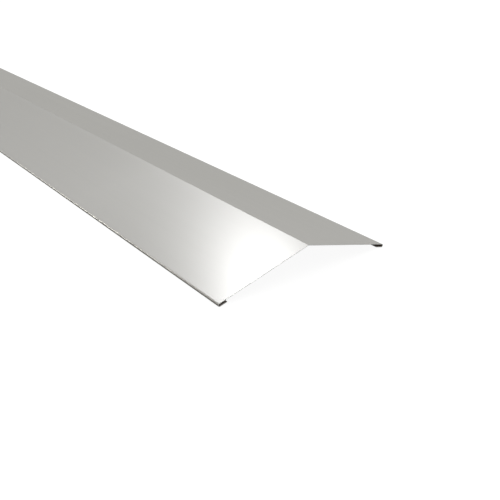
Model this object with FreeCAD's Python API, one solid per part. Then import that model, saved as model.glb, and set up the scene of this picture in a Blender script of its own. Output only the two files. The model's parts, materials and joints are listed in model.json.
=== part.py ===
# Roof ridge cap: one strip of coated steel sheet, bent along its middle and hemmed along both eaves.
#
# Millimetres and degrees. The cap stands as it would on a level floor, on the folds of its two hems.
# Origin: middle of the length, midway between the hems, at floor level. +Y runs along the ridge, +Z is up.
import FreeCAD
import Part

import math
import os

# Driving dimensions
LENGTH = 2000.0  # stock length, along the ridge
WING_WIDTH = 150.0  # from the sharp apex of the outer faces to the outside of the hem's fold
APEX_ANGLE = 149.6  # between the outer faces of the two wings, for a roof of about 15 degrees
SHEET_THICKNESS = 0.7
RIDGE_INSIDE_RADIUS = 0.4  # of the bend along the middle
HEM_WIDTH = 13.6  # from the outside of the fold to the cut edge of the return
HEM_GAP = 3.5  # clear space between the wing and the return folded under it

# Worked out from the driving dimensions
SLOPE = math.radians((180.0 - APEX_ANGLE) / 2)  # of each wing, below the horizontal
RIDGE_RADIUS = RIDGE_INSIDE_RADIUS + SHEET_THICKNESS
RIDGE_TANGENT = RIDGE_RADIUS * math.tan(SLOPE)  # from the sharp apex to where the flat wing starts
HEM_RADIUS = HEM_GAP / 2 + SHEET_THICKNESS
FOLD_AXIS = WING_WIDTH - HEM_RADIUS  # distance of the hem's bend axis from the apex, along the wing
APEX_HEIGHT = FOLD_AXIS * math.sin(SLOPE) + HEM_RADIUS * math.cos(SLOPE) + HEM_RADIUS

LEFT, RIGHT = -1, 1


def wing_point(side, along, depth):
    """A point of the section at the near end: along a wing from the apex, and depth below its outer face."""
    across = along * math.cos(SLOPE) - depth * math.sin(SLOPE)
    height = APEX_HEIGHT - along * math.sin(SLOPE) - depth * math.cos(SLOPE)
    return FreeCAD.Vector(side * across, -LENGTH / 2, height)


def ridge_bend():
    """The outer face's arc over the middle, from the left wing to the right one."""
    crown_height = APEX_HEIGHT - RIDGE_RADIUS / math.cos(SLOPE) + RIDGE_RADIUS
    crown = FreeCAD.Vector(0, -LENGTH / 2, crown_height)
    return Part.Arc(wing_point(LEFT, RIDGE_TANGENT, 0), crown, wing_point(RIGHT, RIDGE_TANGENT, 0))


def hemmed_wing(side):
    """The outer face of one wing: the flat, the open fold at the eave and the return under the wing."""
    flat_start = wing_point(side, RIDGE_TANGENT, 0)
    fold_start = wing_point(side, FOLD_AXIS, 0)
    fold_middle = wing_point(side, WING_WIDTH, HEM_RADIUS)
    fold_end = wing_point(side, FOLD_AXIS, 2 * HEM_RADIUS)
    cut_edge = wing_point(side, WING_WIDTH - HEM_WIDTH, 2 * HEM_RADIUS)
    flat = Part.LineSegment(flat_start, fold_start)
    fold = Part.Arc(fold_start, fold_middle, fold_end)
    hem_return = Part.LineSegment(fold_end, cut_edge)
    return [flat, fold, hem_return]


def ridge_cap():
    """The folded sheet: its outer face's line, thickened inwards by the sheet, run along the length."""
    curves = hemmed_wing(LEFT)[::-1] + [ridge_bend()] + hemmed_wing(RIGHT)
    outer_line = Part.Wire([curve.toShape() for curve in curves])
    section = outer_line.makeOffset2D(SHEET_THICKNESS, fill=True, openResult=True)
    return section.extrude(FreeCAD.Vector(0, LENGTH, 0))


os.makedirs("parts", exist_ok=True)
cap = ridge_cap()
cap.exportStep("parts/ridge_cap.step")

box = cap.BoundBox
blank_width = cap.Volume / LENGTH / SHEET_THICKNESS
print(f"ridge_cap: {cap.ShapeType}, valid {cap.isValid()}, {len(cap.Faces)} faces")
print(f"overall {box.XLength:.2f} x {box.YLength:.2f} x {box.ZLength:.2f} mm, lowest point {box.ZMin:.4f}")
print(f"volume {cap.Volume / 1000:.1f} cm3, from a blank {blank_width:.1f} mm wide")
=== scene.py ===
# %% [markdown]
# A roof ridge cap is one long strip of coated steel sheet. A folding machine turns both long edges under
# into open hems, which stiffen the eaves and hide the cut steel, and then bends the strip along its
# middle. This lesson folds the same strip in Blender, gives its three kinds of surface their finishes, and
# lights it like a catalogue picture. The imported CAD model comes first: it fixes where the cap stands and
# how big it is.

# %% Load the fixed frame
import json
import math

import bmesh
import bpy
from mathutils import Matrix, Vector


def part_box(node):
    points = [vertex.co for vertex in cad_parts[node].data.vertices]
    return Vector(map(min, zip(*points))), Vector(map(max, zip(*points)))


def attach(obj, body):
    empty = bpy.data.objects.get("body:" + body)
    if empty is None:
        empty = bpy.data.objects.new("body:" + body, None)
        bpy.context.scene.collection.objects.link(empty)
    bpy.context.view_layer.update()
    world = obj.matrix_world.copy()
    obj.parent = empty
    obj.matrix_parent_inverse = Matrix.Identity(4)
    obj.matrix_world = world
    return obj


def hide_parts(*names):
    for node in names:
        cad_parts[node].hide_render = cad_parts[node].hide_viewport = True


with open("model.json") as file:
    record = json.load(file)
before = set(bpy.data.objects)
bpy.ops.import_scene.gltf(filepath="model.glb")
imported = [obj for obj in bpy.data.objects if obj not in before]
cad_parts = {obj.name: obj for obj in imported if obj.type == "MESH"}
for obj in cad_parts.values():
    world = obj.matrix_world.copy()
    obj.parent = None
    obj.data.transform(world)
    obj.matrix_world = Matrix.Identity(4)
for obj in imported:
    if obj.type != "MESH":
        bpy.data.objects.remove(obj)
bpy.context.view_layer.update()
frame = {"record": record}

cap_low, cap_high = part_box("ridge_cap")
print("CAD cap from", tuple(cap_low), "to", tuple(cap_high))

# %% [markdown]
# The overall size and the slope of the wings are read from the frame, so the scene follows the CAD model.
# The sheet's own sizes, its gauge and its bends, can't be read from a box, so they are named here, in
# metres. All the bends are drawn on the outside of the sheet, because that is the side whose size the box
# gives, so a bend's radius is its inside radius and the gauge together.

# %% Measure the section
SHEET = 0.0007
HEM_GAP = 0.0035
HEM_WIDTH = 0.0136
RIDGE_INSIDE_RADIUS = 0.0004

mounts = {mount["name"]: mount for mount in frame["record"]["mounts"]}
lap_normal = Vector(mounts["right_lap_face"]["axis"])
slope = math.atan2(lap_normal.x, lap_normal.z)
length = cap_high.y - cap_low.y
hem_radius = HEM_GAP / 2 + SHEET
ridge_radius = RIDGE_INSIDE_RADIUS + SHEET
ridge_tangent = ridge_radius * math.tan(slope)
fold_axis = (cap_high.x - hem_radius + hem_radius * math.sin(slope)) / math.cos(slope)
print(f"wings slope {math.degrees(slope):.2f} degrees, hem axis {fold_axis * 1000:.2f} mm from the apex")

# %% [markdown]
# Operators work on whatever is selected, and loading the frame leaves the CAD node selected. Small helpers
# keep that in hand: one starts from nothing selected, and another picks edges by where their two ends lie,
# as a person would pick them by eye. All the folds of this strip run along it, so most picks are of the
# edges at one place of its section.

# %% Selection helpers
NEAR = 1e-6


def start_clean():
    """Back in object mode with nothing selected."""
    if bpy.context.object and bpy.context.object.mode != "OBJECT":
        bpy.ops.object.mode_set(mode="OBJECT")
    bpy.ops.object.select_all(action="DESELECT")


def same(a, b):
    return abs(a - b) < NEAR


def pick_edges(wanted):
    """In edit mode, selects only the edges whose two ends pass the test."""
    skin = bmesh.from_edit_mesh(bpy.context.object.data)
    for element in [*skin.verts, *skin.edges, *skin.faces]:
        element.select = False
    for edge in skin.edges:
        if wanted(edge.verts[0].co, edge.verts[1].co):
            edge.select_set(True)
    bmesh.update_edit_mesh(bpy.context.object.data)


def lies_at(x, z):
    """A test for the edges that run along the strip at one place of its section."""
    return lambda start, end: all(same(place.x, x) and same(place.z, z) for place in (start, end))


def count_faces(stage):
    print(stage, len(bmesh.from_edit_mesh(bpy.context.object.data).faces), "faces")


# %% [markdown]
# The cap is the same on both sides, so only the right wing is modelled and the left one is its mirror
# image. It starts as a flat plane, outer face up, from the ridge bend to the hem. The plane is cut across
# into short lengths first, because every fold that follows carries those cuts along: the finished strip
# then has faces of a sensible shape instead of slivers two metres long.

# %% Lay out the flat wing
LENGTH_CUTS = 39

start_clean()
bpy.ops.mesh.primitive_plane_add(size=1, location=((ridge_tangent + fold_axis) / 2, 0, 0))
folded_sheet = bpy.context.object
folded_sheet.name = "folded_sheet"
folded_sheet.data.name = "folded_sheet"
folded_sheet.scale = (fold_axis - ridge_tangent, length, 1)
bpy.ops.object.transform_apply(location=True, rotation=False, scale=True)
bpy.ops.object.mode_set(mode="EDIT")
bpy.ops.mesh.select_mode(type="EDGE")
pick_edges(lambda start, end: same(start.x, end.x))
bpy.ops.mesh.subdivide(number_cuts=LENGTH_CUTS)
count_faces("flat wing:")

# %% [markdown]
# The hem is a half turn round an axis just under the wing, and then a flat return back towards the ridge.
# The folder leaves it open, so the wing and the return are a few millimetres apart. Spin is the tool for a
# bend: it sweeps the eave edge round the axis in even steps. It turns against the right-hand rule, so a
# fold outwards and down about +Y has a negative angle. The return is a plain extrude from where the spin
# ends.

# %% Fold the hem
HEM_STEPS = 16

pick_edges(lies_at(fold_axis, 0))
bpy.ops.mesh.spin(steps=HEM_STEPS, angle=-math.pi, center=(fold_axis, 0, -hem_radius), axis=(0, 1, 0))
pick_edges(lies_at(fold_axis, -2 * hem_radius))
bpy.ops.mesh.extrude_region_move(TRANSFORM_OT_translate={"value": (hem_radius - HEM_WIDTH, 0, 0)})
count_faces("with its hem:")

# %% [markdown]
# The ridge bend is spun in the same way, but only half of it, up to the crown. Then the whole wing is
# tipped about the bend's own axis until the crown is level, and moved to its place in the frame. With no
# window open the rotate tool turns the other way, so the angle is written with its sign turned.

# %% Bend the ridge and tip the wing
RIDGE_STEPS = 4

bend_centre = (ridge_tangent, 0, -ridge_radius)
pick_edges(lies_at(ridge_tangent, 0))
bpy.ops.mesh.spin(steps=RIDGE_STEPS, angle=slope, center=bend_centre, axis=(0, 1, 0))
bpy.ops.mesh.select_all(action="SELECT")
bpy.ops.transform.rotate(value=-slope, orient_axis="Y", orient_type="GLOBAL", center_override=bend_centre)
bpy.ops.transform.translate(value=(-ridge_tangent, 0, cap_high.z))
bpy.ops.object.mode_set(mode="OBJECT")
heights = [vertex.co.z for vertex in folded_sheet.data.vertices]
print(f"tipped wing stands from {min(heights) * 1000:.3f} to {max(heights) * 1000:.3f} mm")

# %% [markdown]
# A mirror gives the left wing and welds the two halves along the crown. The normals are made to agree
# while the sheet is still a single skin, with the wings' upper sides as the outside: on a closed shell the
# same tool could turn the inner side round.

# %% Mirror the wing
def apply_modifier(kind, **settings):
    """Adds one modifier to the active piece, sets it up and applies it."""
    bpy.ops.object.modifier_add(type=kind)
    modifier = bpy.context.object.modifiers[-1]
    for name, value in settings.items():
        setattr(modifier, name, value)
    bpy.ops.object.modifier_apply(modifier=modifier.name)


apply_modifier("MIRROR", use_mirror_merge=True, merge_threshold=NEAR)
bpy.ops.object.mode_set(mode="EDIT")
bpy.ops.mesh.select_all(action="SELECT")
bpy.ops.mesh.remove_doubles(threshold=NEAR)
bpy.ops.mesh.normals_make_consistent(inside=False)
wing_face = max(bmesh.from_edit_mesh(folded_sheet.data).faces, key=lambda face: face.calc_area())
if wing_face.normal.z < 0:
    bpy.ops.mesh.flip_normals()
count_faces("folded skin:")
bpy.ops.object.mode_set(mode="OBJECT")

# %% [markdown]
# Now the skin gets its gauge, inwards from the outer face, so the overall size stays the CAD model's.
# A coated sheet has three kinds of surface, and the thickness tool sorts them by itself: the outer faces
# keep the first material, the weather coat; the inner faces take the second, the thin coat on the back;
# and the rim, where the strip was sheared from its coil, takes the third, bare steel.

# %% Give the sheet its gauge
for name in ("weather_coat", "back_coat", "sheared_steel"):
    folded_sheet.data.materials.append(bpy.data.materials.new(name))
apply_modifier(
    "SOLIDIFY",
    thickness=SHEET,
    offset=-1,
    use_even_offset=True,
    material_offset=1,
    material_offset_rim=2,
)
print("sheet with its gauge:", len(folded_sheet.data.polygons), "faces")

# %% [markdown]
# A shear pulls the sheet's corner over a little before it cuts, so a sheared edge is never perfectly sharp.
# A small bevel does that on the square edges alone; the folds are far gentler than its angle limit.
# Smooth shading then blends the steps of the bends, and weighted normals keep the wide wings truly flat in
# their reflections right up to the bends.

# %% Ease the sheared edges and smooth the bends
SHEAR_ROUNDING = 0.00008
SQUARE_CORNER = math.radians(60)
GENTLE_STEP = math.radians(40)

apply_modifier(
    "BEVEL",
    width=SHEAR_ROUNDING,
    segments=2,
    limit_method="ANGLE",
    angle_limit=SQUARE_CORNER,
    use_clamp_overlap=False,
)
bpy.ops.object.shade_smooth_by_angle(angle=GENTLE_STEP)
apply_modifier("WEIGHTED_NORMAL", keep_sharp=True)
print("finished sheet:", len(folded_sheet.data.polygons), "faces")

# %% [markdown]
# A sheared edge is not one even surface. The blade burnishes the upper part of the thickness, and the rest
# breaks away dull and grainy. To paint those two bands the shader has to know how deep in the sheet a point
# lies, and around the hem that direction turns with the fold, so no plain coordinate gives it. Each vertex
# gets it as a number of its own instead: 0 on the outer face, 1 on the inner one.

# %% Mark the depth in the sheet
apex_height = cap_high.z - ridge_radius + ridge_radius / math.cos(slope)


def depth_in_sheet(place):
    """The share of the gauge between a point and the outer face, along the section."""
    across, drop = abs(place.x), apex_height - place.z
    along = across * math.cos(slope) + drop * math.sin(slope)
    under = drop * math.cos(slope) - across * math.sin(slope)
    if along > fold_axis:
        depth = hem_radius - math.hypot(along - fold_axis, under - hem_radius)
    else:
        depth = min(under, 2 * hem_radius - under)
    return depth / SHEET


depths = [depth_in_sheet(vertex.co) for vertex in folded_sheet.data.vertices]
layer = folded_sheet.data.attributes.new("depth_in_sheet", "FLOAT", "POINT")
layer.data.foreach_set("value", depths)
print(f"depth in the sheet runs from {min(depths):.2f} to {max(depths):.2f}")

# %% [markdown]
# The finishes are all noise at some scale, stretched one way or another, that nudges a colour, a roughness
# or a height. Noise read from Object coordinates stays with the sheet, and its marks have a size in metres
# that can be written down. These helpers open a finish, lay such a noise, spread it over a range of values
# and work one value out from others.

# %% Helpers for the finishes
NOISE_LOW, NOISE_HIGH = 0.3, 0.7


def open_finish(name):
    """The named finish's nodes, links and shader, ready to be wired."""
    material = bpy.data.materials[name]
    material.use_nodes = True
    tree = material.node_tree
    return tree.nodes, tree.links, tree.nodes["Principled BSDF"]


def marks(nodes, links, size, detail=2):
    """Noise whose marks have about this size along X, Y and Z, in metres."""
    place = nodes.new("ShaderNodeTexCoord")
    stretch = nodes.new("ShaderNodeMapping")
    stretch.inputs["Scale"].default_value = [1 / extent for extent in size]
    noise = nodes.new("ShaderNodeTexNoise")
    noise.inputs["Scale"].default_value = 1
    noise.inputs["Detail"].default_value = detail
    links.new(place.outputs["Object"], stretch.inputs["Vector"])
    links.new(stretch.outputs["Vector"], noise.inputs["Vector"])
    return noise.outputs["Fac"]


def spread(nodes, links, source, low, high, source_low=NOISE_LOW, source_high=NOISE_HIGH):
    """Runs a value from low to high while its source goes over the given range."""
    node = nodes.new("ShaderNodeMapRange")
    ends = {"From Min": source_low, "From Max": source_high, "To Min": low, "To Max": high}
    for name, value in ends.items():
        node.inputs[name].default_value = value
    links.new(source, node.inputs["Value"])
    return node.outputs["Result"]


def calculate(nodes, links, operation, first, second):
    """A value worked out from two others, each of them a socket or a plain number."""
    node = nodes.new("ShaderNodeMath")
    node.operation = operation
    for place, value in zip(node.inputs, (first, second)):
        if isinstance(value, bpy.types.NodeSocket):
            links.new(value, place)
        else:
            place.default_value = value
    return node.outputs["Value"]


def blend_colours(nodes, links, amount, first, second):
    """Mixes two colours by an amount from 0 to 1."""
    node = nodes.new("ShaderNodeMix")
    node.data_type = "RGBA"
    node.inputs["A"].default_value = (*first, 1)
    node.inputs["B"].default_value = (*second, 1)
    links.new(amount, node.inputs["Factor"])
    return node.outputs["Result"]


def raise_bumps(nodes, links, height, depth, shader):
    """Sends a height from 0 to 1 to the shader as relief of this depth, in metres."""
    bump = nodes.new("ShaderNodeBump")
    bump.inputs["Distance"].default_value = depth
    links.new(height, bump.inputs["Height"])
    links.new(bump.outputs["Normal"], shader.inputs["Normal"])


def darker_and_lighter(colour, swing):
    """A colour taken down and up by a share of itself."""
    return [[channel * factor for channel in colour] for factor in (1 - swing, 1 + swing)]


# %% [markdown]
# The weather side is a coil coating: a light, slightly warm grey, rolled on and baked while the coil runs
# through the line. A roller leaves faint streaks along the coil, a few millimetres wide and very long, and
# the coat's thickness drifts in wide clouds. Together they shift the tone by a percent or so, and the
# streaks shift the gloss by about as little. More would read as brushed metal, so both are kept at the edge
# of what the eye finds.

# %% Weather coat: colour and gloss
WEATHER_GREY = (0.396, 0.39, 0.37)
TONE_SWING = 0.015
WEATHER_ROUGHNESS = 0.281
ROUGHNESS_SWING = 0.004
STREAK = (0.007, 1.5, 0.007)
CLOUD = (0.12, 0.4, 0.12)

nodes, links, shader = open_finish("weather_coat")
streaks = marks(nodes, links, STREAK)
clouds = marks(nodes, links, CLOUD)
both = calculate(nodes, links, "ADD", streaks, clouds)
tone = spread(nodes, links, both, 0, 1, 2 * NOISE_LOW, 2 * NOISE_HIGH)
colour = blend_colours(nodes, links, tone, *darker_and_lighter(WEATHER_GREY, TONE_SWING))
links.new(colour, shader.inputs["Base Color"])
smoothest, roughest = WEATHER_ROUGHNESS - ROUGHNESS_SWING, WEATHER_ROUGHNESS + ROUGHNESS_SWING
links.new(spread(nodes, links, streaks, smoothest, roughest), shader.inputs["Roughness"])
print("weather coat: roughness about", WEATHER_ROUGHNESS)

# %% [markdown]
# Up close a baked coat is never quite level: it dries with an orange peel about a millimetre across and a
# hundredth of a millimetre deep. It shows only at arm's length, along the border of a highlight, and from a
# normal distance the coat looks even. It is far too shallow for geometry, so it is a bump.

# %% Weather coat: orange peel
PEEL = (0.0014, 0.0014, 0.0014)
PEEL_DEPTH = 0.000008

peel = marks(nodes, links, PEEL, detail=1)
raise_bumps(nodes, links, peel, PEEL_DEPTH, shader)
print("orange peel", PEEL_DEPTH * 1e6, "micrometres deep")

# %% [markdown]
# A matting agent in the coat breaks up reflections at a glancing view: the near part of the cap shows the
# lamp's broad highlight, and the far part, seen almost edge-on, stays as grey as the rest instead of
# mirroring the bright room. Layer Weight measures how edge-on a face is seen, and here it lowers the gloss
# from the coat's own level to almost nothing. The fold of a hem always turns some of its face to the
# viewer, so it keeps its gloss, and a lamp can draw a thin bright line along it. The socket's own value is
# set to the coat's level too, but it counts only where the link is cut.

# %% Weather coat: glancing gloss
FULL_GLOSS_TO = 0.564
NO_GLOSS_FROM = 0.865
GLOSS_FALL = 4
COAT_GLOSS = 0.22

edge_on = nodes.new("ShaderNodeLayerWeight")
remaining = spread(nodes, links, edge_on.outputs["Facing"], 1, 0, FULL_GLOSS_TO, NO_GLOSS_FROM)
falling = calculate(nodes, links, "POWER", remaining, GLOSS_FALL)
level = calculate(nodes, links, "MULTIPLY", falling, COAT_GLOSS)
shader.inputs["Specular IOR Level"].default_value = COAT_GLOSS
links.new(level, shader.inputs["Specular IOR Level"])
print("gloss fades from", FULL_GLOSS_TO, "to", NO_GLOSS_FROM)

# %% [markdown]
# The back of the sheet has only a thin service coat: a pale, warm and matte one without much body, so the
# roller's streaks show a little more than on the front. It is seen inside the hems and from below.

# %% Back coat
BACK_BEIGE = (0.5, 0.46, 0.42)
BACK_TONE_SWING = 0.05
BACK_ROUGHNESS = (0.52, 0.6)
BACK_GLOSS = 0.3
BACK_STREAK = (0.004, 0.9, 0.004)
BACK_GRAIN = (0.0006, 0.0006, 0.0006)
BACK_GRAIN_DEPTH = 0.00001

nodes, links, shader = open_finish("back_coat")
streaks = marks(nodes, links, BACK_STREAK, detail=4)
tone = spread(nodes, links, streaks, 0, 1)
colour = blend_colours(nodes, links, tone, *darker_and_lighter(BACK_BEIGE, BACK_TONE_SWING))
links.new(colour, shader.inputs["Base Color"])
links.new(spread(nodes, links, streaks, *BACK_ROUGHNESS), shader.inputs["Roughness"])
raise_bumps(nodes, links, marks(nodes, links, BACK_GRAIN), BACK_GRAIN_DEPTH, shader)
shader.inputs["Specular IOR Level"].default_value = BACK_GLOSS
print("back coat: matte, about", BACK_BEIGE)

# %% [markdown]
# The sheared edge is bare zinc-coated steel in two bands across the gauge: burnished and lighter near the
# outer face, where the blade went in, and torn, duller and darker behind it. The border between them
# wanders along the cut, so a fine noise is added to the depth before it is split.

# %% Sheared steel
BURNISHED = (0.42, 0.42, 0.41)
TORN = (0.3, 0.297, 0.29)
BURNISHED_ROUGHNESS, TORN_ROUGHNESS = 0.34, 0.62
BURNISHED_SHARE = 0.35
BORDER_WIDTH = 0.1
BORDER_WANDER = 0.12
TEAR = (0.0004, 0.0004, 0.0004)
TEAR_DEPTH = 0.00006

nodes, links, shader = open_finish("sheared_steel")
depth = nodes.new("ShaderNodeAttribute")
depth.attribute_name = "depth_in_sheet"
tears = marks(nodes, links, TEAR, detail=3)
wander = spread(nodes, links, tears, -BORDER_WANDER, BORDER_WANDER)
uneven_depth = calculate(nodes, links, "ADD", depth.outputs["Fac"], wander)
band_start, band_end = BURNISHED_SHARE - BORDER_WIDTH / 2, BURNISHED_SHARE + BORDER_WIDTH / 2
torn = spread(nodes, links, uneven_depth, 0, 1, band_start, band_end)
links.new(blend_colours(nodes, links, torn, BURNISHED, TORN), shader.inputs["Base Color"])
roughness = spread(nodes, links, torn, BURNISHED_ROUGHNESS, TORN_ROUGHNESS, 0, 1)
links.new(roughness, shader.inputs["Roughness"])
raise_bumps(nodes, links, calculate(nodes, links, "MULTIPLY", tears, torn), TEAR_DEPTH, shader)
shader.inputs["Metallic"].default_value = 1
print("sheared steel: burnished for", BURNISHED_SHARE, "of the gauge")

# %% [markdown]
# The floor is a plain sheet, pale to the eye. The picture's background is white, and lighting a floor to
# white would also flood the cap, so the floor gives white only on rays that see it directly, from the
# camera or through a reflection. For the soft light it sends up under the cap it is a warm grey. The white
# part keeps a little ordinary shading in it, which is what shows the cap's shadow.

# %% Floor
FLOOR_SIZE = 24

start_clean()
bpy.ops.mesh.primitive_plane_add(size=FLOOR_SIZE, location=(0, 0, 0))
floor = bpy.context.object
floor.name = "studio_floor"
print("floor:", FLOOR_SIZE, "m wide")


# %% Tell direct rays from soft light
def seen_directly(nodes, links):
    """1 on rays from the camera or a mirror-like surface, 0 on the rays that carry soft light."""
    rays = nodes.new("ShaderNodeLightPath").outputs
    camera_or_mirror = calculate(nodes, links, "MAXIMUM", rays["Is Camera Ray"], rays["Is Glossy Ray"])
    return calculate(nodes, links, "MAXIMUM", camera_or_mirror, rays["Is Transmission Ray"])


def mix_by_ray(nodes, links, soft, direct, output):
    """Sends one shader to the soft light's rays and another to the rays that see the surface directly."""
    mix = nodes.new("ShaderNodeMixShader")
    links.new(seen_directly(nodes, links), mix.inputs[0])
    links.new(soft.outputs[0], mix.inputs[1])
    links.new(direct.outputs[0], mix.inputs[2])
    links.new(mix.outputs[0], output.inputs["Surface"])


# %% Floor finish
FLOOR_BOUNCE = (0.15, 0.115, 0.065, 1)
FLOOR_GLOW = 0.94
FLOOR_SHADE = (0.13, 0.13, 0.13, 1)

sweep = bpy.data.materials.new("white_sweep")
sweep.use_nodes = True
nodes, links = sweep.node_tree.nodes, sweep.node_tree.links
nodes.clear()
matte = nodes.new("ShaderNodeBsdfDiffuse")
matte.inputs["Color"].default_value = FLOOR_BOUNCE
shade = nodes.new("ShaderNodeBsdfDiffuse")
shade.inputs["Color"].default_value = FLOOR_SHADE
glow = nodes.new("ShaderNodeEmission")
glow.inputs["Strength"].default_value = FLOOR_GLOW
white = nodes.new("ShaderNodeAddShader")
links.new(shade.outputs[0], white.inputs[0])
links.new(glow.outputs[0], white.inputs[1])
mix_by_ray(nodes, links, matte, white, nodes.new("ShaderNodeOutputMaterial"))
floor.data.materials.append(sweep)
print("floor finish: white by", FLOOR_GLOW, "of its own light")

# %% [markdown]
# One lamp behind the cap and a little to the right, the key, makes the broad highlight at the near corner
# of the left wing. Where it stands was worked out from the picture: the highlight's middle gives the lamp's
# direction, and how fast the highlight fades gives the coat's roughness. A lower lamp behind the cap on the
# left, the rim, draws the thin, slightly warm line along the fold of the left hem. It is hidden from
# diffuse rays, so it adds that line and leaves the tones of the wings alone. Sun lamps are enough for both,
# because only their directions matter: where they stand does not.

# %% Lamps
SUN_PLACE = (0, 0, 3)


def add_sun(name, azimuth, elevation, strength, angle, colour=(1, 1, 1), gloss_only=False):
    """A sun lamp that shines from a direction: azimuth from +Y towards +X, elevation from the floor."""
    bpy.ops.object.light_add(type="SUN", location=SUN_PLACE)
    lamp = bpy.context.object
    lamp.name = name
    lamp.rotation_euler = (elevation - math.pi / 2, 0, -azimuth)
    lamp.data.energy = strength
    lamp.data.angle = angle
    lamp.data.color = colour
    lamp.visible_diffuse = not gloss_only
    print(name, strength)


KEY_AZIMUTH = math.radians(17.27)
KEY_ELEVATION = math.radians(45.63)
KEY_STRENGTH = 1.67
KEY_ANGLE = math.radians(2)
RIM_AZIMUTH = math.radians(-28)
RIM_ELEVATION = math.radians(21)
RIM_STRENGTH = 2.1
RIM_ANGLE = math.radians(10)
RIM_COLOUR = (1, 0.97, 0.87)

add_sun("key_lamp", KEY_AZIMUTH, KEY_ELEVATION, KEY_STRENGTH, KEY_ANGLE)
add_sun("rim_lamp", RIM_AZIMUTH, RIM_ELEVATION, RIM_STRENGTH, RIM_ANGLE, RIM_COLOUR, gloss_only=True)

# %% [markdown]
# The rest is the soft light of a studio with a large overhead diffuser: brightest straight up and fading
# towards the horizon, so the wings are evenly lit and the folds of the hems turn dark underneath. It is the
# world's own light, which has no edges and no shape to see. Direct and mirrored rays see a white room.

# %% Overhead light
OVERHEAD = 1.97
OVERHEAD_FALL = 4

world = bpy.data.worlds.new("studio")
bpy.context.scene.world = world
world.use_nodes = True
nodes, links = world.node_tree.nodes, world.node_tree.links
nodes.clear()
direction = nodes.new("ShaderNodeTexCoord")
parts = nodes.new("ShaderNodeSeparateXYZ")
links.new(direction.outputs["Generated"], parts.inputs[0])
upward = spread(nodes, links, parts.outputs["Z"], 0, 1, 0, 1)
falling = calculate(nodes, links, "POWER", upward, OVERHEAD_FALL)
soft = nodes.new("ShaderNodeBackground")
links.new(calculate(nodes, links, "MULTIPLY", falling, OVERHEAD), soft.inputs["Strength"])
room = nodes.new("ShaderNodeBackground")
for background in (soft, room):
    background.inputs["Color"].default_value = (1, 1, 1, 1)
mix_by_ray(nodes, links, soft, room, nodes.new("ShaderNodeOutputWorld"))
print("overhead light", OVERHEAD)

# %% [markdown]
# The camera stands where the photograph was taken from. The directions of the cap's edges in the picture,
# which run together in the distance, give its turn, its tilt and its lens; the width of the wings gives
# how far away it is.

# %% Camera
CAMERA_PLACE = (-0.56405, -1.62263, 0.43719)
CAMERA_YAW = math.radians(36.958)
CAMERA_PITCH = math.radians(25.604)
CAMERA_LENS = 50.956
CAMERA_SENSOR = 36

turn = (math.pi / 2 - CAMERA_PITCH, 0, -CAMERA_YAW)
bpy.ops.object.camera_add(location=CAMERA_PLACE, rotation=turn)
camera = bpy.context.object
camera.data.lens = CAMERA_LENS
camera.data.sensor_width = CAMERA_SENSOR
bpy.context.scene.camera = camera
bpy.context.scene.view_settings.view_transform = "Standard"
print("camera", CAMERA_LENS, "mm")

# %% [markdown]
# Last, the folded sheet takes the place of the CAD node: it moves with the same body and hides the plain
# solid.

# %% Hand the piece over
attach(folded_sheet, "root")
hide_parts("ridge_cap")
